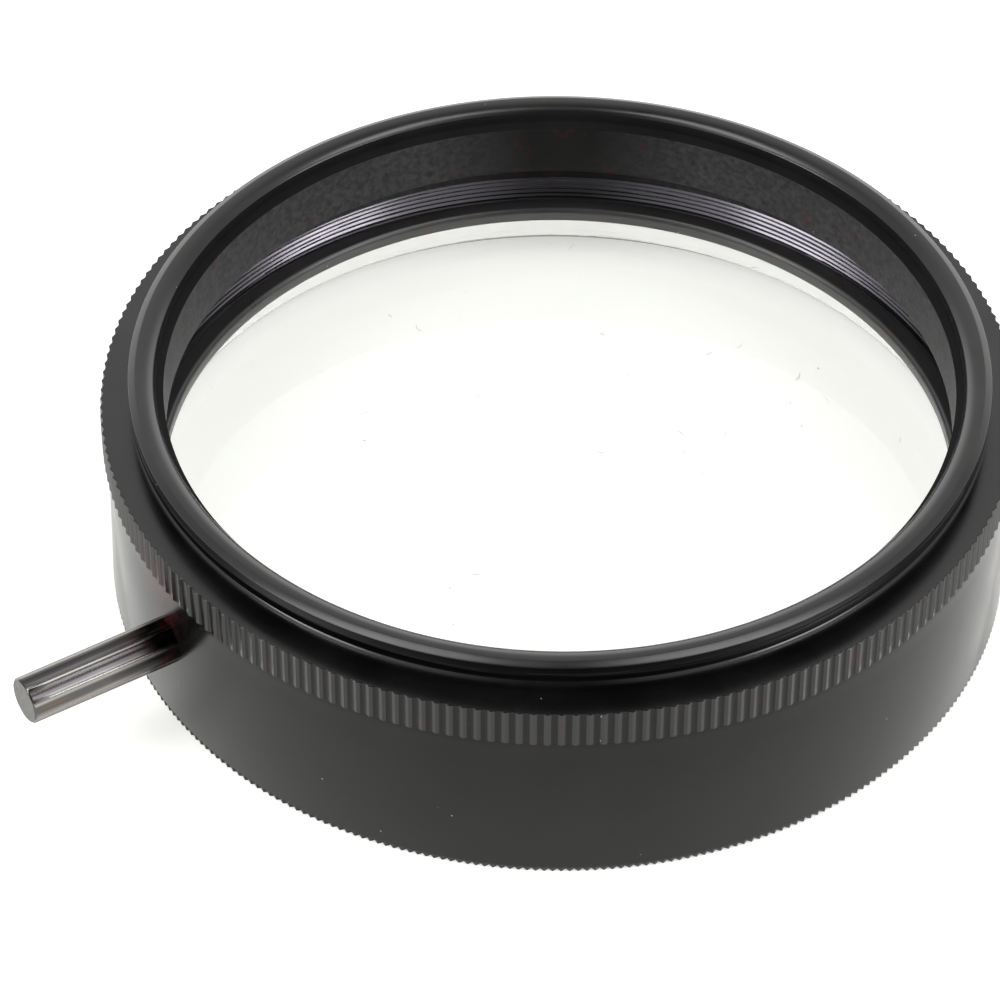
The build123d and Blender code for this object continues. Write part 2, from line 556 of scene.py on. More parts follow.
@dataclass(frozen=True)
class BlackAnodised(Finish):
    """Black anodised aluminium with lathe lines, grain, a little dust and, on some parts, a painted sheen.

    The tone is its darkest colour. Scales of noise are in cells per m.

    Attributes:
        lift: lightest colour, in patches.
        rough: surface roughness.
        mirror: strength of the reflections.
        tint: colour of the reflections.
        lines: strength of the lathe lines.
        grain: strength of the matt grain.
        dust: share of cells with a dust speck.
        rust: strength of the reddish residue.
        index: refractive index of the coat.
        scuff_and_sheen: lightest colour of the scuffs and of a painted sheen, which are laid away from the
            middle of the +Y side and leave that middle dark.
        stain: middle of a reddish stain, in m.
    """

    LATHE_SCALE = 14000.0
    PATCH_SCALE = 260.0
    GRAIN_SCALE = 9000.0
    SCUFF_SHEEN_SCALE = 2500.0
    RUST_SCALE = 900.0
    STAIN_SCALE = 1100.0
    SHEEN_ANGLES = (0.08, 0.38)
    STAIN_REACH = (0.0006, 0.0032)
    SPECK_RADIUS = 0.00005
    SPECK_CELL = 0.00085
    RELIEF = 0.00002
    RUST_RED = (0.09, 0.008, 0.006, 1.0)
    STAIN_RED = (0.06, 0.009, 0.011, 1.0)
    DUST_PALE = (0.3, 0.29, 0.27, 1.0)

    lift: Colour
    rough: float
    mirror: float
    tint: Colour = (1.0, 1.0, 1.0)
    lines: float = 0.1
    grain: float = 0.0
    dust: float = 0.1
    rust: float = 0.0
    index: float = 1.5
    scuff_and_sheen: Colour | None = None
    stain: Place | None = None

    def colour(
        self,
        nodes: Nodes,
        place: bpy.types.NodeSocket,
        patches: bpy.types.NodeSocket,
        fine: bpy.types.NodeSocket,
    ) -> bpy.types.NodeSocket:
        """Colour of the coat with its scuffs and painted sheen, residue and stain.

        Args:
            nodes: the material's nodes.
            place: the place's socket.
            patches: the socket of the noise with large patches.
            fine: the socket of the noise with fine grain.

        Returns:
            The colour's socket.
        """
        patchy = nodes.spread(patches, 0.35, 0.7, 0.0, 1.0)
        colour = nodes.mix(patchy, (*self.tone, 1.0), (*self.lift, 1.0))
        if self.scuff_and_sheen is not None:
            # Painted sheen: away from the middle of the +Y side the coat is painted lighter, broken up by
            # the scuffs' noise.
            parts = nodes.parts(place)
            aside = nodes.math("ABSOLUTE", nodes.math("ARCTAN2", parts[0], parts[1]))
            worn = nodes.spread(nodes.noise(place, self.SCUFF_SHEEN_SCALE, 5.0), 0.25, 0.65, 0.3, 1.0)
            share = nodes.math("MULTIPLY", nodes.spread(aside, *self.SHEEN_ANGLES, 0.0, 1.0), worn)
            colour = nodes.mix(share, colour, (*self.scuff_and_sheen, 1.0))
        if self.rust > 0.0:
            spots = nodes.spread(nodes.noise(place, self.RUST_SCALE, 6.0), 0.6, 0.7, 0.0, self.rust)
            colour = nodes.mix(nodes.math("MULTIPLY", spots, fine), colour, self.RUST_RED)
        if self.stain is not None:
            gap = nodes.add("ShaderNodeVectorMath", {0: place, 1: self.stain}, operation="DISTANCE")
            near = nodes.spread(gap.outputs["Value"], *self.STAIN_REACH, 1.0, 0.0)
            cloudy = nodes.spread(nodes.noise(place, self.STAIN_SCALE, 4.0), 0.4, 0.62, 0.0, 0.9)
            colour = nodes.mix(nodes.math("MULTIPLY", near, cloudy), colour, self.STAIN_RED)
        return colour

    def material(self) -> bpy.types.Material:
        """Makes the material.

        Returns:
            The material.
        """
        made, nodes, place = self.begin()
        lathe = nodes.noise(nodes.lathe(place), self.LATHE_SCALE, 2.0)
        patches = nodes.noise(place, self.PATCH_SCALE, 5.0)
        fine = nodes.noise(place, self.GRAIN_SCALE, 3.0)
        speck = nodes.specks(place, self.SPECK_RADIUS, self.dust, self.SPECK_CELL)
        colour = nodes.mix(speck, self.colour(nodes, place, patches, fine), self.DUST_PALE)
        worn = nodes.spread(patches, 0.3, 0.7, self.rough - 0.03, self.rough + 0.04)
        lines = nodes.math("MULTIPLY", lathe, self.lines)
        relief = nodes.math("ADD", lines, nodes.math("MULTIPLY", fine, self.grain))
        skin = nodes.add(
            "ShaderNodeBsdfPrincipled",
            {
                "Base Color": colour,
                "Roughness": nodes.math("ADD", worn, nodes.math("MULTIPLY", speck, 0.4)),
                "Normal": nodes.bump(relief, 1.0, self.RELIEF),
                "IOR": self.index,
                "Specular IOR Level": self.mirror,
                "Specular Tint": (*self.tint, 1.0),
            },
        )
        nodes.surface(skin)
        return made


@dataclass(frozen=True)
class PolishedGlass(Finish):
    """Clear polished glass with faint smears on its faces.

    The tone is the share of each colour that passes.

    Attributes:
        smear: roughness of the smears.
        frost: share of the surface that is still matt from grinding.
        index: refractive index.
    """

    SMEAR_SCALE = 120.0

    smear: float = 0.02
    frost: float = 0.0
    index: float = 1.5

    def material(self) -> bpy.types.Material:
        """Makes the material.

        Returns:
            The material.
        """
        made, nodes, place = self.begin()
        colour = (*self.tone, 1.0)
        smears = nodes.spread(nodes.noise(place, self.SMEAR_SCALE, 4.0), 0.55, 0.75, 0.0, self.smear)
        body = nodes.add(
            "ShaderNodeBsdfPrincipled",
            {"Base Color": colour, "Roughness": smears, "IOR": self.index, "Transmission Weight": 1.0},
        )
        clear = nodes.add("ShaderNodeBsdfTransparent", {"Color": colour})
        ray = nodes.add("ShaderNodeLightPath").outputs
        passing = nodes.math("MAXIMUM", ray["Is Shadow Ray"], ray["Is Diffuse Ray"])
        whole = nodes.add("ShaderNodeMixShader", {0: passing, 1: body.outputs[0], 2: clear.outputs[0]})
        if self.frost > 0.0:
            matt = nodes.add("ShaderNodeBsdfDiffuse", {"Color": colour})
            whole = nodes.add(
                "ShaderNodeMixShader", {0: self.frost, 1: whole.outputs[0], 2: matt.outputs[0]}
            )
        nodes.surface(whole)
        return made


@dataclass(frozen=True)
class GroundGlass(Finish):
    """Pale ground bevel of the glass."""

    GRAIN_SCALE = 5000.0
    RELIEF = 0.00002

    def material(self) -> bpy.types.Material:
        """Makes the material.

        Returns:
            The material.
        """
        made, nodes, place = self.begin()
        fine = nodes.noise(place, self.GRAIN_SCALE, 4.0)
        colour = self.mottled(nodes, fine, 0.94)
        normal = nodes.bump(fine, 0.3, self.RELIEF)
        nodes.surface(nodes.add("ShaderNodeBsdfDiffuse", {"Color": colour, "Normal": normal}))
        return made


@dataclass(frozen=True)
class DarkSteel(Finish):
    """Dark drawn steel with brown and violet streaks along the rod, lighter worn ridges that also carry a
    painted highlight, and painted shade near the barrel.

    Scales of noise are in cells per m.

    Attributes:
        warm: its brown tint.
        violet: its violet tint.
        rough: surface roughness.
        stretch: how much shorter than wide the streaks' noise is along the rod.
        bright: colour of the ridges, which wear has polished and which also carry a painted highlight.
        hollow: distance from the rod's axis below which the flutes stay dark, in m.
        ridge: distance from the rod's axis above which the ridges are bright, in m.
        root_shade_start: distance from the filter's axis where the painted shade near the barrel, with its
            reddish residue, starts, in m.
        root_shade_end: distance from the filter's axis beyond which the painted shade is gone, in m.
    """

    WARM_SCALE = 2600.0
    VIOLET_SCALE = 1700.0
    SCRATCH_SCALE = 16000.0
    WEAR_SCALE = 1300.0
    ROOT_RESIDUE_SCALE = 1400.0
    ROOT_SHADE_FRAY = 0.0006
    RELIEF = 0.00001
    ROOT_SHADE_BLACK = (0.008, 0.006, 0.006, 1.0)
    ROOT_SHADE_RESIDUE_RED = (0.05, 0.01, 0.01, 1.0)

    warm: Colour
    violet: Colour
    rough: float
    stretch: float
    bright: Colour
    hollow: float = 0.0014
    ridge: float = 0.00146
    root_shade_start: float = 0.0288
    root_shade_end: float = 0.0325

    def material(self) -> bpy.types.Material:
        """Makes the material.

        Returns:
            The material.
        """
        made, nodes, place = self.begin()
        turn = -math.radians(LEVER_ANGLE)
        turned = nodes.add("ShaderNodeVectorRotate", {"Vector": place, "Angle": turn}).outputs[0]
        drawn = nodes.add(
            "ShaderNodeVectorMath", {0: turned, 1: (self.stretch, 1.0, 1.0)}, operation="MULTIPLY"
        ).outputs[0]
        patches = nodes.noise(drawn, self.WARM_SCALE, 4.0)
        other = nodes.noise(drawn, self.VIOLET_SCALE, 3.0)
        brown = nodes.spread(patches, 0.58, 0.72, 0.0, 0.9)
        colour = nodes.mix(brown, (*self.tone, 1.0), (*self.warm, 1.0))
        colour = nodes.mix(nodes.spread(other, 0.5, 0.66, 0.0, 0.6), colour, (*self.violet, 1.0))
        parts = nodes.parts(turned)
        # Lighter ridges: polished by wear, and painted lighter as a highlight streak along each ridge.
        away = nodes.length(parts[1], nodes.math("SUBTRACT", parts[2], LEVER_HEIGHT * MM))
        wear = nodes.spread(nodes.noise(drawn, self.WEAR_SCALE, 2.0), 0.35, 0.6, 0.25, 1.0)
        polished = nodes.math("MULTIPLY", nodes.spread(away, self.hollow, self.ridge, 0.0, 1.0), wear)
        colour = nodes.mix(polished, colour, (*self.bright, 1.0))
        # Near the barrel the rod is painted dark: painted shade where it meets the barrel, with reddish
        # residue mixed in.
        fray = nodes.spread(patches, 0.3, 0.7, -self.ROOT_SHADE_FRAY, self.ROOT_SHADE_FRAY)
        root = nodes.spread(
            nodes.math("ADD", parts[0], fray), self.root_shade_start, self.root_shade_end, 0.97, 0.0
        )
        reddish = nodes.spread(nodes.noise(place, self.ROOT_RESIDUE_SCALE, 3.0), 0.5, 0.62, 0.0, 0.8)
        colour = nodes.mix(root, colour, nodes.mix(reddish, self.ROOT_SHADE_BLACK, self.ROOT_SHADE_RESIDUE_RED))
        skin = nodes.add(
            "ShaderNodeBsdfPrincipled",
            {
                "Base Color": colour,
                "Metallic": 1.0,
                "Roughness": nodes.spread(patches, 0.3, 0.7, self.rough - 0.05, self.rough + 0.08),
                "Normal": nodes.bump(nodes.noise(drawn, self.SCRATCH_SCALE, 2.0), 0.02, self.RELIEF),
            },
        )
        nodes.surface(skin)
        return made


@dataclass(frozen=True)
class DustGrey(Finish):
    """Pale grey lint and dust."""

    SHADE_SCALE = 800.0

    def material(self) -> bpy.types.Material:
        """Makes the material.

        Returns:
            The material.
        """
        made, nodes, place = self.begin()
        colour = self.mottled(nodes, nodes.noise(place, self.SHADE_SCALE, 2.0), 0.7)
        nodes.surface(nodes.add("ShaderNodeBsdfDiffuse", {"Color": colour}))
        return made


@dataclass(frozen=True)
class LightTable(Finish):
    """White table top that is lit a little from below.

    Attributes:
        glow: strength of the light from below.
    """

    FIBRE_SCALE = 1500.0

    glow: float

    def material(self) -> bpy.types.Material:
        """Makes the material.

        Returns:
            The material.
        """
        made, nodes, place = self.begin()
        colour = self.mottled(nodes, nodes.noise(place, self.FIBRE_SCALE, 4.0), 0.985)
        skin = nodes.add("ShaderNodeBsdfDiffuse", {"Color": colour})
        shine = nodes.add("ShaderNodeEmission", {"Color": colour, "Strength": self.glow})
        nodes.surface(nodes.add("ShaderNodeAddShader", {0: skin.outputs[0], 1: shine.outputs[0]}))
        return made


# Middle of the reddish stain on the knurl beside the lever, in m.
KNURL_STAIN = (-0.0237, -0.0149, -0.0042)


@dataclass(frozen=True)
class Finishes:
    """The finishes of the filter and its floor."""

    flange: BlackAnodised = BlackAnodised(
        "black_flange", (0.003, 0.003, 0.003), (0.006, 0.006, 0.006), rough=0.23, mirror=0.78, lines=0.05
    )
    trap: BlackAnodised = BlackAnodised(
        "black_light_trap", (0.008, 0.008, 0.008), (0.012, 0.012, 0.012), rough=0.6, mirror=0.05, grain=0.1
    )
    knurl: BlackAnodised = BlackAnodised(
        "black_knurl", (0.003, 0.003, 0.003), (0.006, 0.006, 0.006), rough=0.24, mirror=0.43, rust=0.4,
        stain=KNURL_STAIN,
    )
    # Darker, duller copy of the knurl's finish for the flute faces: painted shade in the knurl's hollows.
    flutes: BlackAnodised = BlackAnodised(
        "black_knurl_flutes_painted_shade", (0.002, 0.002, 0.002), (0.004, 0.004, 0.004), rough=0.3, mirror=0.2, rust=0.3,
        stain=KNURL_STAIN,
    )
    thread: BlackAnodised = BlackAnodised(
        "black_thread", (0.003, 0.003, 0.003), (0.005, 0.005, 0.005), rough=0.3, mirror=0.14
    )
    # Its sides are painted lighter: painted sheen mixed with the scuffs.
    bore: BlackAnodised = BlackAnodised(
        "black_sleeve_bore", (0.008, 0.008, 0.008), (0.013, 0.012, 0.012), rough=0.45, mirror=0.08,
        grain=1.0, rust=0.6, scuff_and_sheen=(0.055, 0.054, 0.058),
    )
    barrel: BlackAnodised = BlackAnodised(
        "black_barrel", (0.003, 0.003, 0.003), (0.005, 0.005, 0.005), rough=0.17, mirror=0.22, lines=0.03,
        stain=(-0.0236, -0.0147, -0.0048),
    )
    inner: BlackAnodised = BlackAnodised(
        "black_inner_thread", (0.01, 0.01, 0.01), (0.016, 0.015, 0.016), rough=0.24, mirror=0.6,
        tint=(0.93, 0.88, 1.0), rust=0.5, index=2.2,
    )
    ring: BlackAnodised = BlackAnodised(
        "black_retaining_ring", (0.03, 0.03, 0.03), (0.038, 0.036, 0.036), rough=0.3, mirror=0.8, rust=0.5
    )
    glass: PolishedGlass = PolishedGlass("clear_glass", (0.99, 0.995, 0.985))
    side: PolishedGlass = PolishedGlass("half_polished_glass_side", (0.95, 0.955, 0.945), frost=0.3)
    edge: GroundGlass = GroundGlass("ground_glass_edge", (0.93, 0.935, 0.91))
    # The steel's ridges are painted lighter as a highlight, and it is painted dark near the barrel as shade.
    steel: DarkSteel = DarkSteel(
        "dark_steel", (0.105, 0.102, 0.1), warm=(0.24, 0.13, 0.05), violet=(0.11, 0.085, 0.115),
        rough=0.2, stretch=0.04, bright=(0.36, 0.35, 0.335),
    )
    cut_steel: DarkSteel = DarkSteel(
        "cut_steel_end", (0.13, 0.127, 0.122), warm=(0.15, 0.135, 0.12), violet=(0.12, 0.115, 0.125),
        rough=0.4, stretch=1.0, bright=(0.14, 0.137, 0.13),
    )
    dust: DustGrey = DustGrey("grey_lint", (0.5, 0.49, 0.46))
    floor: LightTable = LightTable("white_table_top", (0.9, 0.9, 0.875), glow=0.64)


@dataclass
class RearRing:
    """The ring with the rear thread, the knurled flange and the sleeve. Sizes are in mm."""

    thread_radius: float = 26.2
    thread_length: float = 1.27
    thread_steps: int = 26
    lead_width: float = 0.42
    lead_drop: float = 0.18
    lead_edge: float = 0.08
    aperture: float = 24.1
    lip_inset: float = 0.45
    crown_width: float = 1.0
    crown_drop: float = 0.65
    arc_steps: int = 10
    step_height: float = 0.3
    relief_width: float = 0.89
    relief_depth: float = 0.7
    relief_round: float = 0.7
    flange_bottom: float = -3.39
    channel_top: float = -1.59
    sleeve_bottom: float = -3.59
    sleeve_radius: float = 25.4
    sleeve_edge: float = 0.15
    skirt_radius: float = 27.0
    knurl_radius: float = 28.0
    knurl_edge: float = 0.03
    knurl: Pattern = field(default_factory=lambda: Pattern(218, 0.15, 0.15))
    columns_per_flute: int = 4
    thread: Thread = field(default_factory=lambda: Thread(0.75, 0.3, 0.05))
    trap_reach: float = 0.13
    trap_drop: float = 0.4
    cut_band: float = 0.5

    def quarter(self, radius: float, height: float, width: float, rise: float) -> list[Corner]:
        """Quarter of an oval, from its level end to its steep end.

        Args:
            radius: radius of the steep end, in mm.
            height: height of the level end, in mm.
            width: how far apart the ends are across, in mm.
            rise: how much higher the steep end is, in mm.

        Returns:
            Its corners.
        """
        return [
            Corner(radius + width * (1.0 - math.sin(turn)), height + rise * (1.0 - math.cos(turn)))
            for turn in np.linspace(0.0, math.pi / 2.0, self.arc_steps + 1)
        ]

    def corners(self) -> list[Corner]:
        """Section of the ring, from the thread over the lip, down the bore and back along the flange.

        Returns:
            The section's corners.
        """
        floor = self.thread_radius - self.relief_depth
        knurl_top = -self.relief_width
        lip = self.aperture + self.lip_inset
        return [
            Corner(floor, 0.0, FINE_EDGE),
            Corner(self.thread_radius, 0.0, SMALL_EDGE, self.thread_steps, Cut.OUTER_THREAD),
            Corner(self.thread_radius, self.thread_length - self.lead_drop, SOFT_EDGE),
            Corner(self.thread_radius - self.lead_width, self.thread_length, self.lead_edge),
            *self.quarter(lip, self.thread_length, self.crown_width, -self.crown_drop),
            Corner(lip, self.step_height, SOFT_EDGE),
            Corner(self.aperture, 0.0, FINE_EDGE),
            Corner(self.aperture, self.sleeve_bottom + self.sleeve_edge, FINE_EDGE),
            Corner(self.aperture + self.sleeve_edge, self.sleeve_bottom, FINE_EDGE),
            Corner(self.sleeve_radius, self.sleeve_bottom, FINE_EDGE),
            Corner(self.sleeve_radius, self.channel_top),
            Corner(self.skirt_radius, self.channel_top),
            Corner(self.skirt_radius, self.flange_bottom, SOFT_EDGE),
            Corner(self.knurl_radius - self.knurl_edge, self.flange_bottom, 0.0, 1, Cut.KNURL),
            Corner(self.knurl_radius, self.flange_bottom + self.knurl_edge, 0.0, 2, Cut.KNURL),
            Corner(self.knurl_radius, knurl_top - self.knurl_edge, 0.0, 1, Cut.KNURL),
            Corner(self.knurl_radius - self.knurl_edge, knurl_top),
            *self.quarter(floor, knurl_top, self.relief_round, self.relief_round),
        ]

    def build(self, finishes: Finishes) -> bpy.types.Object:
        """Makes the ring in place of its plain solid.

        Args:
            finishes: the finishes to use.

        Returns:
            The ring.
        """
        piece = Mesher.turned(
            "rear_ring_turned",
            self.corners(),
            self.columns_per_flute * self.knurl.count,
            patterns={Cut.KNURL: self.knurl},
            threads={Cut.OUTER_THREAD: self.thread},
        )
        piece.data.materials.append(finishes.flange.material())
        bore = self.aperture - SLACK
        trap_edge = self.aperture + self.lip_inset + self.trap_reach
        thread_floor = self.thread_radius - self.cut_band
        thread_end = self.thread_length - self.lead_drop - HAIR
        knurl_floor = self.skirt_radius + self.cut_band
        flute_top = self.knurl_radius - 0.5 * self.knurl.depth
        low, high = self.flange_bottom + HAIR, -self.relief_width - HAIR
        for finish, zone in (
            (finishes.trap, (bore, trap_edge, 0.0, self.thread_length - self.trap_drop)),
            (finishes.bore, (bore, self.sleeve_radius + HAIR, self.sleeve_bottom - SLACK, 0.0)),
            (finishes.knurl, (knurl_floor, self.knurl_radius + SLACK, low, high)),
            # The flute faces take the darker copy: painted shade in the hollows.
            (finishes.flutes, (knurl_floor, flute_top, low, high)),
            (finishes.thread, (thread_floor, self.thread_radius + SLACK, 0.0, thread_end)),
        ):
            Mesher.finish_zone(piece, finish.material(), zone)
        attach(piece, "rear_ring")
        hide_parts("rear_ring")
        return piece


@dataclass
class Barrel:
    """The barrel with its threaded bore, neck and toothed rim. Sizes are in mm."""

    rim: float = TABLE
    rim_height: float = 0.4
    rim_edge: float = 0.03
    swell_height: float = 9.0
    flare_radius: float = 26.95
    lip_radius: float = 26.0
    lip_top: float = -13.18
    bore_radius: float = 26.12
    seat_top: float = -13.02
    thread_bottom: float = RING_TOP - 0.7
    thread_top: float = -5.65
    thread_steps: int = 48
    thread_room: float = 0.4
    neck_ledge: float = -3.12
    neck_bore: float = 25.47
    neck_radius: float = 26.93
    neck_top: float = -1.66
    shoulder: float = -3.46
    radius: float = 27.7
    side_steps: int = 3
    edge: float = 0.1
    rim_tip: float = 27.92
    teeth: Pattern = field(default_factory=lambda: Pattern(348, 0.2, 0.0))
    columns_per_tooth: int = 2
    thread: Thread = field(default_factory=lambda: Thread(0.35, -0.11, 0.03))

    def corners(self) -> list[Corner]:
        """Section of the barrel, from the rim up the bore, over the neck and down the side.

        Returns:
            The section's corners.
        """
        return [
            Corner(self.flare_radius, self.rim, SMALL_EDGE),
            Corner(self.lip_radius, self.lip_top, SMALL_EDGE),
            Corner(self.bore_radius, self.seat_top, FINE_EDGE),
            Corner(self.bore_radius, self.thread_bottom, 0.0, self.thread_steps, Cut.INNER_THREAD),
            Corner(self.bore_radius, self.thread_top),
            Corner(self.bore_radius, self.neck_ledge),
            Corner(self.neck_bore, self.neck_ledge, SMALL_EDGE),
            Corner(self.neck_bore, self.neck_top, SOFT_EDGE),
            Corner(self.neck_radius, self.neck_top, SOFT_EDGE),
            Corner(self.neck_radius, self.shoulder, FINE_EDGE),
            Corner(self.radius, self.shoulder, self.edge, self.side_steps),
            Corner(self.radius, self.rim + self.swell_height),
            Corner(self.rim_tip, self.rim + self.rim_height),
            Corner(self.rim_tip, self.rim + self.rim_edge, 0.0, 1, Cut.TEETH),
            Corner(self.rim_tip - self.rim_edge, self.rim),
        ]

    def build(self, finishes: Finishes) -> bpy.types.Object:
        """Makes the barrel in place of its plain solid.

        Args:
            finishes: the finishes to use.

        Returns:
            The barrel.
        """
        piece = Mesher.turned(
            "barrel_turned",
            self.corners(),
            self.columns_per_tooth * self.teeth.count,
            patterns={Cut.TEETH: self.teeth},
            threads={Cut.INNER_THREAD: self.thread},
        )
        piece.data.materials.append(finishes.barrel.material())
        near, far = self.lip_radius - SLACK, self.bore_radius + self.thread_room
        for finish, low, high in (
            (finishes.inner, self.rim, self.thread_top),
            (finishes.bore, self.thread_top, self.neck_ledge),
        ):
            Mesher.finish_zone(piece, finish.material(), (near, far, low, high))
        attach(piece, "barrel")
        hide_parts("barrel")
        return piece


@dataclass
class RetainingRing:
    """The flat ring that holds the glass down. Sizes are in mm."""

    outer: float = 26.07
    inner: float = 24.4
    top: float = RING_TOP
    bottom: float = GLASS_TOP
    bevel: float = 0.57
    inner_round: float = 0.35
    slot_width: float = 1.2
    slot_length: float = 0.9
    slot_depth: float = 0.5
    slot_overrun: float = 0.4
    columns: int = 360

    def cut_slot(self, piece: bpy.types.Object, side: float) -> None:
        """Cuts one spanner slot into the ring's top, from its inner edge.

        Args:
            piece: the ring.
            side: 1 for the slot at +X, -1 for the one at -X.
        """
        near, far = side * (self.inner - self.slot_overrun), side * (self.inner + self.slot_length)
        low, high = self.top - self.slot_depth, self.top + self.slot_overrun
        half = self.slot_width / 2.0
        outline = ((near, -half), (far, -half), (far, half), (near, half))
        points = np.array([(x, y, z) for z in (low, high) for x, y in outline])
        faces = [(3, 2, 1, 0), (4, 5, 6, 7), (0, 1, 5, 4), (1, 2, 6, 5), (2, 3, 7, 6), (3, 0, 4, 7)]
        cutter = Mesher.piece("slot_cutter", points, faces)
        Mesher.face_outwards(cutter)
        cut = piece.modifiers.new("slot", "BOOLEAN")
        cut.object = cutter
        cut.solver = "EXACT"
        bpy.context.view_layer.update()
        shaped = piece.evaluated_get(bpy.context.evaluated_depsgraph_get())
        piece.data = bpy.data.meshes.new_from_object(shaped)
        piece.modifiers.clear()
        bpy.data.objects.remove(cutter)

    def build(self, finishes: Finishes) -> bpy.types.Object:
        """Makes the ring with its two spanner slots in place of its plain solid.

        Args:
            finishes: the finishes to use.

        Returns:
            The ring.
        """
        corners = [
            Corner(self.inner, self.bottom, FINE_EDGE),
            Corner(self.inner, self.top, self.inner_round),
            Corner(self.outer - self.bevel, self.top, SOFT_EDGE),
            Corner(self.outer, self.top - self.bevel, SOFT_EDGE),
            Corner(self.outer, self.bottom, SMALL_EDGE),
        ]
        piece = Mesher.turned("retaining_ring_turned", corners, self.columns)
        for side in (1.0, -1.0):
            self.cut_slot(piece, side)
        piece.data.materials.clear()
        piece.data.materials.append(finishes.ring.material())
        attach(piece, "barrel")
        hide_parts("retaining_ring")
        return piece


@dataclass
class GlassDisc:
    """The thick clear disc with a half-polished side and ground bevels. Sizes are in mm."""

    radius: float = 26.02
    top: float = GLASS_TOP
    bottom: float = -13.16
    bevel: float = 0.03
    columns: int = 256
    level: float = 0.9
    upright: float = 0.1

    def build(self, finishes: Finishes) -> bpy.types.Object:
        """Makes the disc in place of its plain solid.

        Args:
            finishes: the finishes to use.

        Returns:
            The disc.
        """
        flat = self.radius - self.bevel
        section = [
            (flat / 2.0, self.bottom),
            (flat, self.bottom),
            (self.radius, self.bottom + self.bevel),
            (self.radius, self.top - self.bevel),
            (flat, self.top),
            (flat / 2.0, self.top),
        ]
        angles = np.arange(self.columns) * math.tau / self.columns
        rings = [Mesher.ring(reach, height, angles) for reach, height in section]
        ends = np.array([(0.0, 0.0, self.bottom), (0.0, 0.0, self.top)])
        piece = Mesher.capped("glass_disc_polished", rings, ends)
        for finish in (finishes.glass, finishes.edge, finishes.side):
            piece.data.materials.append(finish.material())
        for face in piece.data.polygons:
            slope = abs(face.normal.z)
            face.material_index = 0 if slope > self.level else 1 if slope > self.upright else 2
        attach(piece, "barrel")
        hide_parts("glass_disc")
        return piece


@dataclass
class Lever:
    """The fluted rod in the barrel's side. Sizes are in mm."""

    angle: float = LEVER_ANGLE
    height: float = LEVER_HEIGHT
    seat: float = 27.65
    length: float = 9.79
    length_steps: int = 8
    radius: float = 1.47
    flutes: int = 9
    flute_depth: float = 0.12
    cutter: float = 0.9
    per_flute: int = 14
    easing: int = 4
    shank_radius: float = 1.0
    shank_length: float = 1.38
    shank_edge: float = 0.1
    end_edge: float = 0.14
    end_share: float = 0.4
    end_shave: float = 0.6
    end_land: float = 0.02
    end_facing: float = 0.95

    def outline(self) -> np.ndarray:
        """Reach of the fluted outline at each column.

        Returns:
            Radii in mm, with the first flute's middle at column 0.
        """
        columns = self.flutes * self.per_flute
        share = (np.arange(columns) / self.per_flute + 0.5) % 1.0 - 0.5
        turn = share * math.tau / self.flutes
        away = self.radius + self.cutter - self.flute_depth
        inside = np.clip(self.cutter**2 - (away * np.sin(turn)) ** 2, 0.0, None)
        hollow = np.where(inside > 0.0, away * np.cos(turn) - np.sqrt(inside), self.radius)
        reach = np.minimum(self.radius, hollow)
        for _ in range(self.easing):
            reach = (np.roll(reach, 1) + 2.0 * reach + np.roll(reach, -1)) / 4.0
        return reach

    def rows(self) -> list[tuple[float, np.ndarray]]:
        """Rings of the shank and the rod, from the shank's end outwards.

        Returns:
            Place along the rod and reach at each column, in mm.
        """
        fluted = self.outline()
        shank = np.full(len(fluted), self.shank_radius)
        steps = [(self.length * step / self.length_steps, fluted) for step in range(1, self.length_steps)]
        shaved = np.minimum(fluted, self.radius - self.flute_depth * self.end_shave)
        end = np.full(len(fluted), self.radius - self.flute_depth - self.end_land)
        return [
            (-self.shank_length, shank - self.shank_edge),
            (-self.shank_length + self.shank_edge, shank),
            (0.0, shank),
            (0.0, fluted),
            *steps,
            (self.length - self.end_edge, fluted),
            (self.length - self.end_edge * self.end_share, shaved),
            (self.length, end),
        ]

    def build(self, finishes: Finishes) -> bpy.types.Object:
        """Makes the lever in place of its plain solid.

        Args:
            finishes: the finishes to use.

        Returns:
            The lever.
        """
        radians = math.radians(self.angle)
        out = np.array((math.cos(radians), math.sin(radians), 0.0))
        up = np.array((0.0, 0.0, 1.0))
        side = np.cross(out, up)
        base = out * self.seat + up * self.height
        columns = self.flutes * self.per_flute
        turn = np.arange(columns) * math.tau / columns
        rings = []
        for along, reach in self.rows():
            around = np.outer(reach * np.cos(turn), up) + np.outer(reach * np.sin(turn), side)
            rings.append(base + out * along + around)
        ends = np.array([base - out * self.shank_length, base + out * self.length])
        piece = Mesher.capped("lever_fluted", rings, ends)
        for finish in (finishes.steel, finishes.cut_steel):
            piece.data.materials.append(finish.material())
        for face in piece.data.polygons:
            face.material_index = 1 if face.normal.dot(Vector(out)) > self.end_facing else 0
        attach(piece, "barrel")
        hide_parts("lever")
        return piece


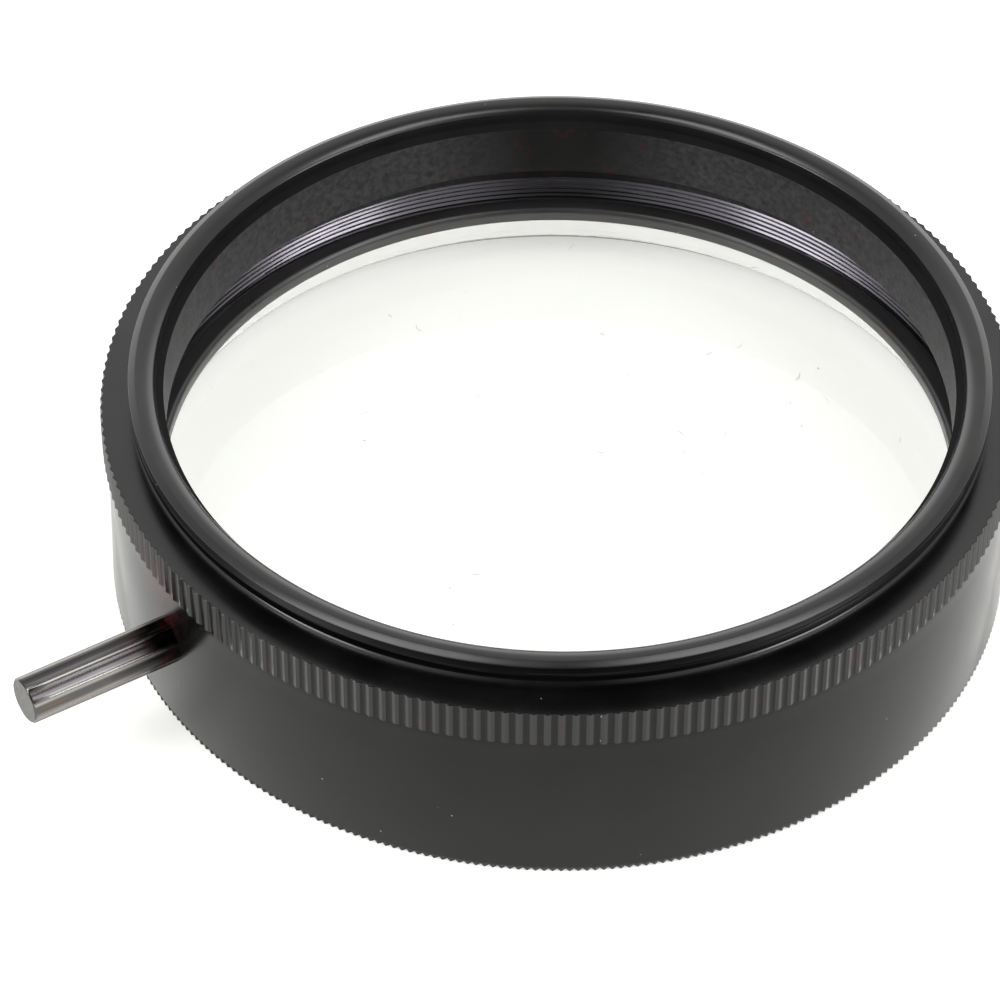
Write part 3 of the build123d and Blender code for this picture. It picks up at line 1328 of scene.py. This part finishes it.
@dataclass
class Lint:
    """Short hairs and dust on the glass. Sizes are in mm."""

    surface: float = GLASS_TOP
    reach: float = 23.6
    hairs: int = 26
    specks: int = 40
    thickness: float = 0.018
    hair_length: tuple[float, float] = (0.35, 1.0)
    speck_length: tuple[float, float] = (0.05, 0.11)
    hair_swell: tuple[float, float] = (0.7, 1.2)
    speck_swell: tuple[float, float] = (1.4, 2.6)
    bend: float = 1.6
    path_points: int = 9
    sides: int = 6
    taper: float = 0.9
    seed: int = 11

    def tube(self, middle: np.ndarray, thick: float) -> tuple[np.ndarray, Faces]:
        """Makes a thin closed tube that follows a line of points.

        Args:
            middle: the points of its middle line.
            thick: its radius at the middle.

        Returns:
            Points and faces.
        """
        sides, count = self.sides, len(middle)
        ahead = np.gradient(middle, axis=0)
        ahead /= np.linalg.norm(ahead, axis=1)[:, None]
        up = np.array((0.0, 0.0, 1.0))
        across = np.cross(up, ahead)
        places = np.linspace(-self.taper, self.taper, count)
        swell = thick * np.sqrt(np.clip(1.0 - places**2, 0.0, 1.0))
        turn = np.arange(sides) * math.tau / sides
        rings = [
            middle[row] + swell[row] * (np.outer(np.cos(turn), across[row]) + np.outer(np.sin(turn), up))
            for row in range(count)
        ]
        start, end = tuple(range(sides))[::-1], tuple(range((count - 1) * sides, count * sides))
        return np.concatenate(rings), [start, end, *Mesher.bands(count, sides)]

    def strand(self, draw: np.random.Generator, hair: bool) -> tuple[np.ndarray, float]:
        """Draws one hair or speck.

        Args:
            draw: the source of random numbers.
            hair: whether it is a hair.

        Returns:
            Its middle line and its radius, in mm.
        """
        angle, away = draw.uniform(0.0, math.tau), self.reach * math.sqrt(draw.uniform(0.0, 1.0))
        long = draw.uniform(*(self.hair_length if hair else self.speck_length))
        thick = self.thickness * draw.uniform(*(self.hair_swell if hair else self.speck_swell))
        turn, bend = draw.uniform(0.0, math.tau), draw.uniform(-self.bend, self.bend)
        heading = turn + bend * np.linspace(-0.5, 0.5, self.path_points)
        steps = np.stack([np.cos(heading), np.sin(heading), np.zeros(self.path_points)], -1)
        path = np.cumsum(steps, axis=0) * long / self.path_points
        spot = np.array((away * math.cos(angle), away * math.sin(angle), self.surface + thick))
        path += spot - path.mean(axis=0)
        far = np.hypot(path[:, 0], path[:, 1]).max()
        if far > self.reach:
            path[:, :2] *= self.reach / far
        return path, thick

    def build(self, finishes: Finishes) -> bpy.types.Object:
        """Scatters the hairs and specks.

        Args:
            finishes: the finishes to use.

        Returns:
            All of them as one piece.
        """
        draw = np.random.default_rng(self.seed)
        points: list[np.ndarray] = []
        faces: Faces = []
        start = 0
        for index in range(self.hairs + self.specks):
            some, around = self.tube(*self.strand(draw, index < self.hairs))
            points.append(some)
            faces += [tuple(start + corner for corner in face) for face in around]
            start += len(some)
        piece = Mesher.piece("glass_lint", np.concatenate(points), faces)
        Mesher.face_outwards(piece)
        piece.data.materials.append(finishes.dust.material())
        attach(piece, "barrel")
        return piece


@dataclass
class Collar:
    """The hidden collar on the sleeve's foot."""

    def dress(self, finishes: Finishes) -> bpy.types.Object:
        """Gives the plain solid its finish.

        Args:
            finishes: the finishes to use.

        Returns:
            The collar.
        """
        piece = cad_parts["collar"]
        piece.data.materials.clear()
        piece.data.materials.append(finishes.inner.material())
        return piece


@dataclass(frozen=True)
class SoftLight:
    """One large soft light that looks at the filter.

    Attributes:
        name: the light's name.
        place: where it is, in m.
        width: its width, in m.
        rise: its height, in m.
        power: its power, in W.
    """

    name: str
    place: Place
    width: float
    rise: float
    power: float

    def build(self) -> bpy.types.Object:
        """Makes the light.

        Returns:
            The light.
        """
        data = bpy.data.lights.new(self.name, "AREA")
        data.shape = "RECTANGLE"
        data.size, data.size_y = self.width, self.rise
        data.energy = self.power
        lamp = bpy.data.objects.new(self.name, data)
        lamp.location = self.place
        lamp.rotation_euler = (-Vector(self.place)).to_track_quat("-Z", "Y").to_euler()
        bpy.context.scene.collection.objects.link(lamp)
        return lamp


@dataclass
class Studio:
    """White table, soft lights, pale room and the camera.

    Sizes are in mm and angles in degrees. The room's ranges are parts of a direction's unit vector.
    """

    table: float = TABLE
    table_half: float = 2000.0
    distance: float = 285.39
    elevation: float = 43.62
    pan: float = 0.732
    tilt: float = 0.529
    roll: float = -0.814
    lens: float = 162.96
    sensor: float = 36.0
    lights: tuple[SoftLight, ...] = (
        SoftLight("high_left", (-0.2, -0.05, 0.46), 0.17, 0.28, 0.48),
        SoftLight("high_right", (0.2, -0.05, 0.46), 0.17, 0.28, 0.48),
        SoftLight("low_left", (-0.44, -0.215, 0.25), 0.24, 0.14, 0.66),
        SoftLight("low_right", (0.44, -0.215, 0.25), 0.24, 0.14, 0.66),
    )
    ambient: float = 0.6
    least_light: float = 0.06
    side_range: tuple[float, float] = (0.14, 0.42)
    rear_range: tuple[float, float] = (0.1, 0.65)
    rear_light: float = 1.25
    low_range: tuple[float, float] = (0.1, 0.35)
    low_light: float = 0.6
    window_range: tuple[float, float] = (0.5, 0.8)
    window_top: tuple[float, float] = (0.42, 0.58)
    window_light: float = 1.6

    def camera(self) -> bpy.types.Object:
        """Makes the camera at the photograph's place.

        Returns:
            The camera.
        """
        rise = math.radians(self.elevation)
        place = Vector((0.0, -math.cos(rise), math.sin(rise))) * self.distance
        ahead, right = -place.normalized(), Vector((1.0, 0.0, 0.0))
        up = right.cross(ahead)
        pan = Matrix.Rotation(math.radians(self.pan), 3, up)
        ahead, right = pan @ ahead, pan @ right
        tilt = Matrix.Rotation(math.radians(self.tilt), 3, right)
        ahead, up = tilt @ ahead, tilt @ up
        roll = Matrix.Rotation(math.radians(self.roll), 3, ahead)
        right, up = roll @ right, roll @ up
        data = bpy.data.cameras.new("photo_camera")
        data.lens = self.lens
        data.sensor_width = self.sensor
        data.clip_start, data.clip_end = 0.01, 20.0
        data.dof.use_dof = False
        eye = bpy.data.objects.new("photo_camera", data)
        turn = Matrix((right, up, -ahead)).transposed().to_4x4()
        eye.matrix_world = Matrix.Translation((place + Vector((0.0, 0.0, self.table))) * MM) @ turn
        bpy.context.scene.collection.objects.link(eye)
        bpy.context.scene.camera = eye
        return eye

    def floor(self, finishes: Finishes) -> bpy.types.Object:
        """Makes the white table.

        Args:
            finishes: the finishes to use.

        Returns:
            The table top.
        """
        signs = ((-1.0, -1.0), (1.0, -1.0), (1.0, 1.0), (-1.0, 1.0))
        points = np.array([(x * self.table_half, y * self.table_half, self.table) for x, y in signs])
        piece = Mesher.piece("white_table", points, [(0, 1, 2, 3)])
        piece.data.materials.append(finishes.floor.material())
        return piece

    def surround(self) -> bpy.types.World:
        """Makes the pale room, bright behind the filter and dark where the photographer stands.

        Returns:
            The world.
        """
        world = bpy.data.worlds.new("pale_room")
        world.use_nodes = True
        nodes = Nodes(world.node_tree)
        parts = nodes.parts(nodes.add("ShaderNodeTexCoord").outputs["Generated"])
        beside = nodes.spread(nodes.math("ABSOLUTE", parts[0]), *self.side_range, 0.0, 1.0)
        behind = nodes.spread(parts[1], *self.rear_range, 0.0, self.rear_light)
        low = nodes.spread(parts[2], *self.low_range, self.low_light, 0.0)
        window = nodes.math(
            "MULTIPLY",
            nodes.spread(parts[1], *self.window_range, 0.0, self.window_light),
            nodes.spread(parts[2], *self.window_top, 1.0, 0.0),
        )
        walls = nodes.math("MAXIMUM", nodes.math("MAXIMUM", beside, behind), low)
        lit = nodes.math("ADD", nodes.math("ADD", walls, window), self.least_light)
        light = nodes.math("MULTIPLY", lit, self.ambient)
        sky = nodes.add("ShaderNodeBackground", {"Color": (1.0, 1.0, 0.99, 1.0), "Strength": light})
        nodes.add("ShaderNodeOutputWorld", {"Surface": sky.outputs[0]})
        bpy.context.scene.world = world
        return world

    def build(self, finishes: Finishes) -> None:
        """Makes the whole studio.

        Args:
            finishes: the finishes to use.
        """
        self.camera()
        self.floor(finishes)
        self.surround()
        for light in self.lights:
            light.build()
        bpy.context.scene.view_settings.view_transform = "Standard"


def main() -> None:
    """Builds the filter and its studio, and logs each piece's face count."""
    logging.basicConfig(level=logging.INFO, format="%(name)s: %(message)s")
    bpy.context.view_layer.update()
    finishes = Finishes()
    Studio().build(finishes)
    for part in (RearRing(), Barrel(), RetainingRing(), GlassDisc(), Lint(), Lever()):
        piece = part.build(finishes)
        log.info("%s: %d faces", piece.name, len(piece.data.polygons))
    log.info("%s dressed", Collar().dress(finishes).name)
    bpy.context.view_layer.update()


if __name__ == "__main__":
    main()
